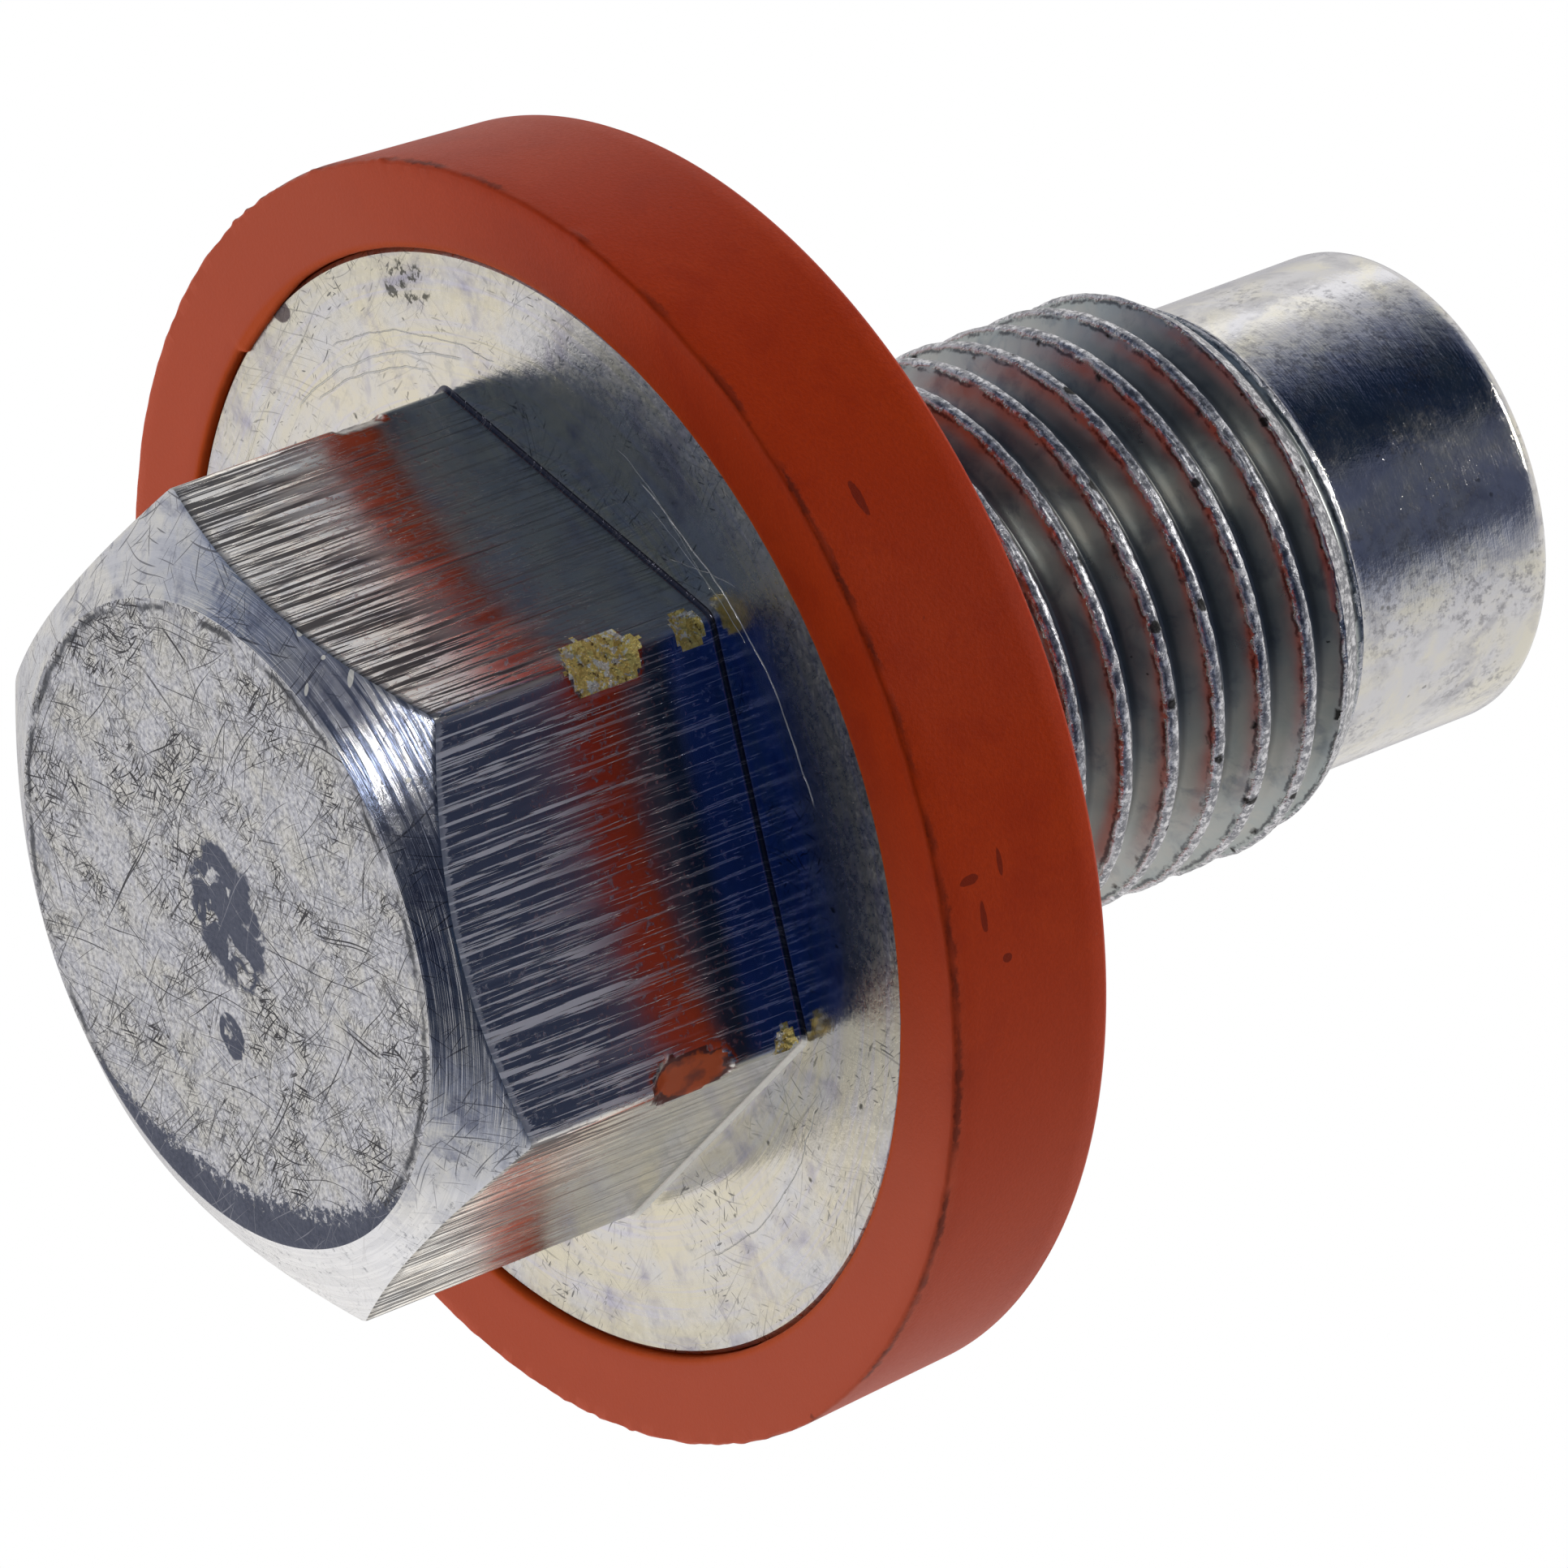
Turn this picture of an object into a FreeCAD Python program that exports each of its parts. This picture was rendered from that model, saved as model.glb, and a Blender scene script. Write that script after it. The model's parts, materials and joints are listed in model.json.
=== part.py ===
import FreeCAD, Part
import math
import os

from FreeCAD import Vector

# Oil drain plug with a rubber sealing ring, standing on its hex head.
# Millimetres. The origin is the centre of the hex face, +Z runs along the
# axis towards the pilot tip, and +X passes through a corner of the hexagon.

# Hex head, for a 5/8 inch spanner
HEX_ACROSS_FLATS = 15.75
HEAD_HEIGHT = 8.2            # hex face to the front of the flange
FACE_CIRCLE_RADIUS = 7.05    # flat circle inside the corner chamfer
CHAMFER_ANGLE = 30.0         # degrees from the hex face
HEX_CORNER_ROUND = 0.3       # upright corners of the hexagon
HEX_BASE_FILLET = 0.45       # where the flats meet the flange

# Flange, forged in one piece with the head
FLANGE_RADIUS = 12.15
FLANGE_THICKNESS = 2.4
FLANGE_EDGE_BREAK = 0.25     # small chamfer on both rims

# Plain neck left between the flange and the rolled thread
NECK_RADIUS = 5.9
NECK_LENGTH = 2.6
NECK_CHAMFER = 0.4           # stiffens the corner under the flange

# Thread, 1/2-20 UNF, held here as its plain outer cylinder
THREAD_RADIUS = 6.3
THREAD_LENGTH = 12.9         # with both run-out tapers
THREAD_START_TAPER = 0.5
THREAD_END_TAPER = 1.2
THREAD_END_RADIUS = 5.6

# Plain pilot point that finds the hole
PILOT_RADIUS = 5.35
PILOT_LENGTH = 5.6
PILOT_EDGE_ROUND = 0.4

# Moulded rubber ring that wraps the rim and the rear of the flange
RING_WALL = 2.0              # round the rim, at the front
RING_TAPER = 0.2             # how much smaller the outer radius is at the rear
RING_LIP = 0.32              # stands this far in front of the flange
RING_LIP_FALL = 0.08         # the front face falls away outwards
RING_WEB = 1.6               # behind the flange, the part that seals
RING_FIT_GAP = 0.04          # between the rubber and the rim
RING_BORE_GAP = 0.08         # round the neck; the rubber stretches over the thread
RING_SEAL_GAP = 0.2          # from the thread to the inner edge of the sealing face
RING_FRONT_ROUND = 0.3
RING_REAR_BREAK = 0.25
RING_LIP_BREAK = 0.15

SAME = 0.001                 # how near two lengths count as equal

# Heights of the steps along the axis
FLANGE_FRONT = HEAD_HEIGHT
FLANGE_REAR = FLANGE_FRONT + FLANGE_THICKNESS
THREAD_START = FLANGE_REAR + NECK_LENGTH
THREAD_END = THREAD_START + THREAD_LENGTH
TIP = THREAD_END + PILOT_LENGTH


def corner_arc(before, corner, after, size):
    """Start, middle and end of the arc that rounds one corner of an outline."""
    to_before = (before - corner).normalize()
    to_after = (after - corner).normalize()
    half = to_before.getAngle(to_after) / 2
    reach = size / math.tan(half)
    start = corner + to_before * reach
    end = corner + to_after * reach
    inward = (to_before + to_after).normalize()
    middle = corner + inward * (size / math.sin(half) - size)
    return start, middle, end


def turned(outline):
    """Solid of revolution about Z from (radius, height, rounding) corners."""
    corners = [Vector(radius, 0, height) for radius, height, size in outline]
    edges = []
    ends = []
    for k, (radius, height, size) in enumerate(outline):
        if size == 0:
            ends.append((corners[k], corners[k]))
            continue
        after = corners[(k + 1) % len(corners)]
        start, middle, end = corner_arc(corners[k - 1], corners[k], after, size)
        edges.append(Part.Arc(start, middle, end).toShape())
        ends.append((start, end))
    for k, (start, end) in enumerate(ends):
        next_start = ends[(k + 1) % len(ends)][0]
        edges.append(Part.LineSegment(end, next_start).toShape())
    wire = Part.Wire(Part.sortEdges(edges)[0])
    return Part.Face(wire).revolve(Vector(0, 0, 0), Vector(0, 0, 1), 360)


def hex_head():
    """Hexagonal head whose corners are cut back by a cone at the front."""
    corner_radius = HEX_ACROSS_FLATS / math.sqrt(3)
    corners = []
    for k in range(6):
        angle = math.radians(60 * k)
        corners.append(Vector(corner_radius * math.cos(angle), corner_radius * math.sin(angle), 0))
    hexagon = Part.Face(Part.makePolygon(corners + corners[:1]))
    prism = hexagon.extrude(Vector(0, 0, HEAD_HEIGHT))
    uprights = [edge for edge in prism.Edges if abs(edge.BoundBox.ZLength - HEAD_HEIGHT) < SAME]
    prism = prism.makeFillet(HEX_CORNER_ROUND, uprights)
    spread = HEAD_HEIGHT / math.tan(math.radians(CHAMFER_ANGLE))
    cone = Part.makeCone(FACE_CIRCLE_RADIUS, FACE_CIRCLE_RADIUS + spread, HEAD_HEIGHT)
    return prism.common(cone)


def flange_and_shank():
    """Flange, neck, thread cylinder and pilot point, turned about the axis."""
    return turned([
        (0, FLANGE_FRONT, 0),
        (FLANGE_RADIUS - FLANGE_EDGE_BREAK, FLANGE_FRONT, 0),
        (FLANGE_RADIUS, FLANGE_FRONT + FLANGE_EDGE_BREAK, 0),
        (FLANGE_RADIUS, FLANGE_REAR - FLANGE_EDGE_BREAK, 0),
        (FLANGE_RADIUS - FLANGE_EDGE_BREAK, FLANGE_REAR, 0),
        (NECK_RADIUS + NECK_CHAMFER, FLANGE_REAR, 0),
        (NECK_RADIUS, FLANGE_REAR + NECK_CHAMFER, 0),
        (NECK_RADIUS, THREAD_START, 0),
        (THREAD_RADIUS, THREAD_START + THREAD_START_TAPER, 0),
        (THREAD_RADIUS, THREAD_END - THREAD_END_TAPER, 0),
        (THREAD_END_RADIUS, THREAD_END, 0),
        (PILOT_RADIUS, THREAD_END, 0),
        (PILOT_RADIUS, TIP, PILOT_EDGE_ROUND),
        (0, TIP, 0),
    ])


def drain_plug():
    """The steel plug, with a fillet where the hexagon meets the flange."""
    body = hex_head().fuse(flange_and_shank()).removeSplitter()
    base_edges = []
    for edge in body.Edges:
        box = edge.BoundBox
        on_flange = abs(box.ZMin - FLANGE_FRONT) < SAME and box.ZLength < SAME
        if on_flange and box.DiagonalLength < HEX_ACROSS_FLATS:
            base_edges.append(edge)
    return body.makeFillet(HEX_BASE_FILLET, base_edges)


def sealing_ring():
    """Rubber ring with an L section: a skirt round the rim and a web behind."""
    seat_radius = FLANGE_RADIUS + RING_FIT_GAP
    front_radius = FLANGE_RADIUS + RING_WALL
    rear_radius = front_radius - RING_TAPER
    bore_radius = NECK_RADIUS + RING_BORE_GAP
    seal_radius = THREAD_RADIUS + RING_SEAL_GAP
    lip_front = FLANGE_FRONT - RING_LIP
    web_rear = FLANGE_REAR + RING_WEB
    return turned([
        (seat_radius + RING_LIP_BREAK, lip_front, 0),
        (front_radius, lip_front + RING_LIP_FALL, RING_FRONT_ROUND),
        (rear_radius, web_rear - RING_REAR_BREAK, 0),
        (rear_radius - RING_REAR_BREAK, web_rear, 0),
        (seal_radius, web_rear, 0),
        (bore_radius, web_rear - (seal_radius - bore_radius), 0),
        (bore_radius, FLANGE_REAR + NECK_CHAMFER, 0),
        (bore_radius + NECK_CHAMFER, FLANGE_REAR, 0),
        (seat_radius, FLANGE_REAR, 0),
        (seat_radius, lip_front + RING_LIP_BREAK, 0),
    ])


os.makedirs("parts", exist_ok=True)
for name, shape in (("drain_plug", drain_plug()), ("sealing_ring", sealing_ring())):
    shape.exportStep("parts/" + name + ".step")
    print(name, "solids", len(shape.Solids), "valid", shape.isValid(), "volume", round(shape.Volume, 2))
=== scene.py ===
import json
import math

import bmesh
import bpy
import numpy as np
from mathutils import Matrix, Vector, noise


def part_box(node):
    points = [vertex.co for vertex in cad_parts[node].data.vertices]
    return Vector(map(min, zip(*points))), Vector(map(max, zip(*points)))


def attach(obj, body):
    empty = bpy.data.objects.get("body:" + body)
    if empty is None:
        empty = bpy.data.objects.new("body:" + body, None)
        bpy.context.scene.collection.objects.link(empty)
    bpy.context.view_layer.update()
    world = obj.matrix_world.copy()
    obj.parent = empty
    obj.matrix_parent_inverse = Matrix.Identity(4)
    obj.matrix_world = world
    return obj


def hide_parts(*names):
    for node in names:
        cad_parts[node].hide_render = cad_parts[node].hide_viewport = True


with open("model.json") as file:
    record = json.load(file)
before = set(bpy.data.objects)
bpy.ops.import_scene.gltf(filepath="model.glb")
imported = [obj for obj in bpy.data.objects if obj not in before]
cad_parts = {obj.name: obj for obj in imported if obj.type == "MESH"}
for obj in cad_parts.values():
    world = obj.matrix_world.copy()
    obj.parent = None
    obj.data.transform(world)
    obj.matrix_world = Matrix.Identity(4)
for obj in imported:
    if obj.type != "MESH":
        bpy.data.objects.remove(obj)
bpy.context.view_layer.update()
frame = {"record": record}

# The steel plug, its shape. One cold-headed forging: hexagon, flange, neck,
# rolled thread and pilot point, with bruised corners from spanners. All in mm.
MM = 0.001
mounts = {mount["name"]: mount for mount in frame["record"]["mounts"]}
plug_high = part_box("drain_plug")[1]
FLANGE_RADIUS = plug_high.x / MM
TIP = plug_high.z / MM
THREAD_RADIUS = mounts["thread"]["dims"]["r_mm"]
PILOT_RADIUS = mounts["pilot"]["dims"]["r_mm"]
HALF_FLATS = 15.75 / 2
CORNER_ROUND = 0.28
FACE_CIRCLE = 7.05
CHAMFER_SLOPE = math.tan(math.radians(30))
EDGE_BREAK = 0.06
FLANGE_FRONT = 8.2
FLANGE_REAR = 10.6
FRONT_BREAK = 0.1
REAR_BREAK = 0.25
BASE_FILLET = 0.12
NECK_RADIUS = 5.9
THREAD_START = 13.2
THREAD_END = 26.1
THREAD_END_TAPER = 1.2
THREAD_END_RADIUS = 5.6
TIP_ROUND = 0.4
TIP_HOLLOW = 0.04
PITCH = 1.27
FLANK_ANGLE = 30        # degrees, half the angle of the thread
CREST_FLAT = 0.04
CREST_ROUND = 0.12
ROOT_ROUND = 0.16
HEX_COLUMNS = 22        # columns from a corner of the hexagon to the middle of a flat
COLUMNS = 12 * HEX_COLUMNS
HEX_FACE, CHAMFER, FLATS, FLANGE, NECK, FLANK, CREST, PILOT, TIP_FACE, CRUMPLED, SMOOTHED = range(11)


def hex_radius(angle, spread=0.0):
    """Radius of the round-cornered hexagon, grown outwards by spread, at each angle."""
    corner_round = CORNER_ROUND + spread
    centre = (HALF_FLATS - CORNER_ROUND) / math.cos(math.pi / 6)
    from_corner = np.abs((angle + math.pi / 6) % (math.pi / 3) - math.pi / 6)
    reach = math.atan2(corner_round * 0.5, centre + corner_round * math.cos(math.pi / 6))
    flat = (HALF_FLATS + spread) / np.cos(math.pi / 6 - from_corner)
    inside = np.maximum(corner_round ** 2 - (centre * np.sin(from_corner)) ** 2, 0)
    arc = centre * np.cos(from_corner) + np.sqrt(inside)
    return np.where(from_corner < reach, arc, flat)


def thread_radius(along):
    """Radius of the thread's section at a share of the pitch from its crest."""
    away = np.abs((along + 0.5) % 1 - 0.5) * PITCH
    slope = math.tan(math.radians(90 - FLANK_ANGLE))
    crest = THREAD_RADIUS - CREST_ROUND
    crest += np.sqrt(CREST_ROUND ** 2 - np.clip(away - CREST_FLAT, 0, CREST_ROUND) ** 2)
    crest_end = CREST_FLAT + CREST_ROUND * math.cos(math.radians(FLANK_ANGLE))
    flank_top = THREAD_RADIUS - CREST_ROUND / 2
    root_start = PITCH / 2 - ROOT_ROUND * math.cos(math.radians(FLANK_ANGLE))
    root_centre = flank_top - (root_start - crest_end) * slope + ROOT_ROUND / 2
    from_root = np.minimum(np.abs(PITCH / 2 - away), ROOT_ROUND)
    root = root_centre - np.sqrt(ROOT_ROUND ** 2 - from_root ** 2)
    radius = np.where(away < crest_end, crest, flank_top - (away - crest_end) * slope)
    return np.where(away > root_start, root, radius)


def wobble(point, size, seed):
    """Smooth random value from -1 to 1 that changes over about size mm."""
    return noise.noise(Vector(point) / size + Vector((seed, seed * 1.7, seed * 0.3)))


steps = np.arange(HEX_COLUMNS) / HEX_COLUMNS
half = (math.pi / 6) * steps ** 1.6
sextant = np.concatenate([half, [math.pi / 6], math.pi / 3 - half[:0:-1]])
hex_angles = np.concatenate([sextant + k * math.pi / 3 for k in range(6)])
even_angles = np.arange(COLUMNS) * 2 * math.pi / COLUMNS
hex_line = hex_radius(hex_angles)
chamfer_end = (hex_line - FACE_CIRCLE) * CHAMFER_SLOPE
ones = np.ones(COLUMNS)
rows = []               # (angles, radii, heights, finish of the band after the row)


def add_row(angles, radii, heights, finish):
    rows.append((angles, radii * ones, heights * ones, finish))


for share in (0.02, 0.15, 0.3, 0.44, 0.57, 0.69, 0.79, 0.87, 0.93, 0.97, 0.99):
    add_row(hex_angles, FACE_CIRCLE * share, 0, HEX_FACE)
add_row(hex_angles, FACE_CIRCLE, 0.012, CHAMFER)
for share in (0.02, 0.07, 0.2, 0.36, 0.52, 0.68, 0.82, 0.93):
    add_row(hex_angles, FACE_CIRCLE + (hex_line - FACE_CIRCLE) * share, chamfer_end * share, CHAMFER)
add_row(hex_angles, hex_line - EDGE_BREAK, chamfer_end - EDGE_BREAK * CHAMFER_SLOPE, CHAMFER)
add_row(hex_angles, hex_line - 0.014, chamfer_end + 0.004, FLATS)
add_row(hex_angles, hex_line, chamfer_end + 0.05, FLATS)
FLAT_ROWS = 66
flats_end = FLANGE_FRONT - BASE_FILLET
for k in range(1, FLAT_ROWS):
    share = k / FLAT_ROWS
    add_row(hex_angles, hex_line, chamfer_end + (flats_end - chamfer_end) * share, FLATS)
for k in range(5):
    turn = math.radians(90) * k / 4
    spread = BASE_FILLET * (1 - math.cos(turn))
    height = flats_end + BASE_FILLET * math.sin(turn)
    add_row(hex_angles, hex_radius(hex_angles, spread), height, FLANGE if k == 4 else FLATS)
foot = hex_radius(hex_angles, BASE_FILLET)
rim_start = FLANGE_RADIUS - FRONT_BREAK
for share in (0.04, 0.12, 0.22, 0.34, 0.46, 0.58, 0.7, 0.82, 0.92, 1):
    add_row(hex_angles, foot + (rim_start - foot) * share, FLANGE_FRONT, FLANGE)
add_row(hex_angles, FLANGE_RADIUS, FLANGE_FRONT + FRONT_BREAK, FLANGE)
add_row(hex_angles, FLANGE_RADIUS, FLANGE_REAR - REAR_BREAK, FLANGE)
rear_start = FLANGE_RADIUS - REAR_BREAK
for share in (0, 0.25, 0.5, 0.75, 1):
    angles = hex_angles + (even_angles - hex_angles) * share
    add_row(angles, rear_start + (NECK_RADIUS + 0.4 - rear_start) * share, FLANGE_REAR, NECK)
for height in (FLANGE_REAR + 0.4, FLANGE_REAR + 1, FLANGE_REAR + 1.6, FLANGE_REAR + 2.1):
    add_row(even_angles, NECK_RADIUS, height, NECK)

# Rows of the thread follow the helix, and are held back to its two ends.
SECTION = (-0.144, -0.12, -0.085, -0.04, 0, 0.04, 0.085, 0.12, 0.144, 0.24, 0.36, 0.5, 0.57, 0.635, 0.7,
           0.77, 0.91, 1.03)
ROWS_PER_TURN = len(SECTION)
CREST_BANDS = 8
PHASE = 0.27            # share of a pitch by which the crest is turned at the first column
turns = math.ceil((THREAD_END - THREAD_START) / PITCH + 1)
first_thread_row = len(rows)
for k in range(turns * ROWS_PER_TURN + 1):
    along = k // ROWS_PER_TURN - 1 + SECTION[k % ROWS_PER_TURN] / PITCH + PHASE
    heights = THREAD_START + PITCH * (along + even_angles / (2 * math.pi))
    heights = np.clip(heights, THREAD_START, THREAD_END)
    shares = (heights - THREAD_START) / PITCH - even_angles / (2 * math.pi) - PHASE
    radii = thread_radius(shares)
    depth = np.clip((heights - THREAD_START) / (0.8 * PITCH), 0, 1)
    radii = NECK_RADIUS + (radii - NECK_RADIUS) * depth
    taper = (THREAD_END - heights) / THREAD_END_TAPER
    radii = np.minimum(radii, THREAD_END_RADIUS + (THREAD_RADIUS - THREAD_END_RADIUS) * taper)
    on_crest = k % ROWS_PER_TURN < CREST_BANDS
    add_row(even_angles, radii, heights, CREST if on_crest else FLANK)
last_thread_row = len(rows) - 1

PILOT_ROWS = 22
PILOT_START = THREAD_END + 0.08
add_row(even_angles, PILOT_RADIUS + 0.03, THREAD_END + 0.01, PILOT)
for k in range(PILOT_ROWS + 1):
    height = PILOT_START + (TIP - TIP_ROUND - PILOT_START) * k / PILOT_ROWS
    add_row(even_angles, PILOT_RADIUS, height, PILOT)
for k in range(1, 7):
    turn = math.radians(90) * k / 6
    radius = PILOT_RADIUS - TIP_ROUND * (1 - math.cos(turn))
    add_row(even_angles, radius, TIP - TIP_ROUND * (1 - math.sin(turn)), TIP_FACE if k == 6 else PILOT)
for share in (0.85, 0.6, 0.35, 0.12):
    add_row(even_angles, (PILOT_RADIUS - TIP_ROUND) * share, TIP - TIP_HOLLOW * (1 - share), TIP_FACE)

points = []
for angles, radii, heights, finish in rows:
    points.append(np.stack([radii * np.cos(angles), radii * np.sin(angles), heights], axis=1))
points = np.array(points)


def bruise(angle, height, length, width, depth, lean, crumple, seed, finish):
    """Flatten part of a corner of the hexagon, as a slipped spanner does."""
    outward = np.array([math.cos(angle), math.sin(angle), 0])
    sideways = np.array([-math.sin(angle), math.cos(angle), 0])
    reach = head_rows @ outward
    along = head_rows[..., 2] - height
    across = head_rows @ sideways
    inside = (np.abs(along) < length) & (np.abs(across) < width) & (reach > 0)
    for index in zip(*np.nonzero(inside)):
        point = head_rows[index]
        edge = length * (0.85 + 0.15 * wobble(point, 0.3, seed + 9))
        bottom = min(1, 3.5 * (1 - abs(along[index]) / edge))
        folds = crumple * (wobble(point, 0.28, seed) + 0.6 * wobble(point, 0.11, seed + 5))
        limit = corner_reach - depth * bottom + lean * along[index] + folds
        if bottom > 0 and reach[index] > limit:
            head_rows[index] += outward * (limit - reach[index])
            touched[index] = finish


corner_reach = float(hex_radius(np.array([0.0]))[0])
head_rows = points[:first_thread_row]
touched = np.zeros(head_rows.shape[:2], dtype=int)
bruise(math.radians(60), 5.45, 1.1, 0.9, 0.27, 0.02, 0.055, 3, CRUMPLED)
bruise(math.radians(60), 7.62, 0.42, 0.6, 0.17, 0, 0.05, 4, CRUMPLED)
bruise(math.radians(120), 5.5, 1.25, 0.9, 0.24, 0.09, 0.004, 7, SMOOTHED)
bruise(math.radians(120), 7.75, 0.3, 0.5, 0.14, 0, 0.04, 8, CRUMPLED)
bruise(math.radians(0), 5.9, 0.8, 0.6, 0.10, 0, 0.02, 9, SMOOTHED)
bruise(math.radians(240), 5.2, 1.2, 0.8, 0.18, 0.04, 0.03, 11, SMOOTHED)

for k in range(first_thread_row, last_thread_row + 1):
    if (k - first_thread_row) % ROWS_PER_TURN > CREST_BANDS:
        continue
    for i in range(COLUMNS):
        x, y, z = points[k, i]
        if not THREAD_START + 0.1 < z < THREAD_END - 0.1:
            continue
        pull = 1 + 0.0035 * wobble((x, y, z), 0.16, 20) - 0.003 * max(wobble((x, y, z), 0.5, 21), 0)
        points[k, i] = (x * pull, y * pull, z + 0.02 * wobble((x, y, z), 0.2, 22))

SAME_PLACE = 0.0008     # points closer than this are one
vertices = [tuple(point) for point in points.reshape(-1, 3) * MM]
face_centre = len(vertices)
vertices.append((0, 0, 0))
tip_centre = len(vertices)
vertices.append((0, 0, (TIP - TIP_HOLLOW) * MM))
faces = []
finishes = []
for i in range(COLUMNS):
    faces.append((face_centre, (i + 1) % COLUMNS, i))
    finishes.append(HEX_FACE)
for k in range(len(rows) - 1):
    for i in range(COLUMNS):
        after = (i + 1) % COLUMNS
        low, high = k, k + 1
        if after == 0 and first_thread_row <= k < last_thread_row:
            low = min(k + ROWS_PER_TURN, last_thread_row)
            high = min(k + 1 + ROWS_PER_TURN, last_thread_row)
        corners = (k * COLUMNS + i, low * COLUMNS + after, high * COLUMNS + after, (k + 1) * COLUMNS + i)
        faces.append(corners)
        hits = [touched[corner // COLUMNS, corner % COLUMNS] for corner in corners if corner < touched.size]
        hits = [hit for hit in hits if hit]
        finishes.append(hits[0] if len(hits) > 1 else rows[k][3])
last = (len(rows) - 1) * COLUMNS
for i in range(COLUMNS):
    faces.append((last + i, last + (i + 1) % COLUMNS, tip_centre))
    finishes.append(TIP_FACE)


def mesh_piece(name, vertices, faces, finishes, crease):
    """A mesh object with doubled points and empty faces cleared, sharp past crease degrees."""
    mesh = bpy.data.meshes.new(name)
    mesh.from_pydata(vertices, [], faces)
    mesh.polygons.foreach_set("material_index", finishes)
    work = bmesh.new()
    work.from_mesh(mesh)
    bmesh.ops.remove_doubles(work, verts=work.verts, dist=SAME_PLACE * MM)
    bmesh.ops.dissolve_degenerate(work, edges=work.edges, dist=SAME_PLACE * MM)
    bmesh.ops.recalc_face_normals(work, faces=work.faces)
    work.to_mesh(mesh)
    work.free()
    mesh.polygons.foreach_set("use_smooth", [True] * len(mesh.polygons))
    mesh.set_sharp_from_angle(angle=math.radians(crease))
    piece = bpy.data.objects.new(name, mesh)
    bpy.context.scene.collection.objects.link(piece)
    return piece


plug = mesh_piece("steel_plug", vertices, faces, finishes, crease=26)

# The steel plug, its finish. Zinc plating, thin and scuffed: drawn streaks on the
# flats, turned marks on the flange and pilot, pits on the crests of the thread.
# The helpers work on tree, the node tree of the group, material or world in hand.
def put(kind, sockets=None, **settings):
    """Add a shader node, and fill its sockets with values or with other nodes' outputs."""
    node = tree.nodes.new("ShaderNode" + kind)
    for name, value in settings.items():
        setattr(node, name, value)
    for name, value in (sockets or {}).items():
        socket = node.inputs[name]
        if isinstance(value, bpy.types.NodeSocket):
            tree.links.new(value, socket)
        else:
            socket.default_value = (*value, 1) if socket.type == "RGBA" else value
    return node


def calc(operation, first, second=0.0, third=0.0):
    return put("Math", {0: first, 1: second, 2: third}, operation=operation).outputs[0]


def times(first, second):
    return calc("MULTIPLY", first, second)


def larger(first, second):
    return calc("MAXIMUM", first, second)


def largest(masks):
    """One mask for all the places where any of the masks is."""
    together = masks[0]
    for mask in masks[1:]:
        together = larger(together, mask)
    return together


def ramp(value, low, high, bottom=0.0, top=1.0):
    """Value carried from low..high to bottom..top, and held at both ends."""
    sockets = {"Value": value, "From Min": low, "From Max": high, "To Min": bottom, "To Max": top}
    return put("MapRange", sockets).outputs["Result"]


def mix(share, first, second, blend="MIX"):
    node = put("Mix", {0: share, 6: first, 7: second}, data_type="RGBA", blend_type=blend)
    return node.outputs[2]


def fine_noise(vector, scale, detail=2.0, roughness=0.5, distortion=0.0):
    sockets = {"Vector": vector, "Scale": scale, "Detail": detail, "Roughness": roughness,
               "Distortion": distortion}
    return put("TexNoise", sockets).outputs["Fac"]


def shifted(place, by):
    """The place moved by a vector, so that a second pattern differs from the first."""
    return put("VectorMath", {0: place, 1: by}, operation="ADD").outputs[0]


def flattened(place):
    """The part of a place that lies across the axis."""
    return put("VectorMath", {0: place, 1: (1, 1, 0)}, operation="MULTIPLY").outputs[0]


def new_group(name, inputs, outputs):
    """A shader group with named sockets. Inputs are (name, kind, value), outputs (name, kind)."""
    global tree
    tree = bpy.data.node_groups.new(name, "ShaderNodeTree")
    for label, kind, value in inputs:
        socket = tree.interface.new_socket(label, in_out="INPUT", socket_type="NodeSocket" + kind)
        if value is not None:
            socket.default_value = value
    for label, kind in outputs:
        tree.interface.new_socket(label, in_out="OUTPUT", socket_type="NodeSocket" + kind)
    return tree, tree.nodes.new("NodeGroupInput").outputs, tree.nodes.new("NodeGroupOutput").inputs


def effect(group, place, **values):
    """Outputs of a shader group, placed in the tree in hand with its own values."""
    return put("Group", {"Vector": place, **values}, node_tree=group).outputs


# Hair scratches lie at many angles in the plane across the axis.
hair_scratches, given, result = new_group(
    "hair_scratches",
    [("Vector", "Vector", None), ("Length", "Float", 1.0), ("Width", "Float", 0.05),
     ("Amount", "Float", 0.3)],
    [("Mask", "Float")])
bent = put("TexNoise", {"Vector": given["Vector"], "Scale": 0.45, "Detail": 0.0}).outputs["Color"]
bent = put("VectorMath", {0: bent, 1: (0.7, 0.7, 0.7), 2: given["Vector"]}, operation="MULTIPLY_ADD")
threshold = ramp(given["Amount"], 0, 1, 0.80, 0.50)
softer = calc("ADD", threshold, 0.03)
lines = []
for k, angle in enumerate((8, 41, 77, 112, 149, 131)):
    turned = put("VectorRotate", {"Vector": bent.outputs[0], "Angle": math.radians(angle)},
                 rotation_type="Z_AXIS").outputs[0]
    parts = put("SeparateXYZ", {0: turned}).outputs
    place = put("CombineXYZ", {
        0: calc("DIVIDE", parts[0], given["Length"]),
        1: calc("DIVIDE", parts[1], given["Width"]),
        2: 3.7 * k}).outputs[0]
    lines.append(ramp(fine_noise(place, 1.0, 0.0), threshold, softer))
tree.links.new(largest(lines), result["Mask"])

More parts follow.
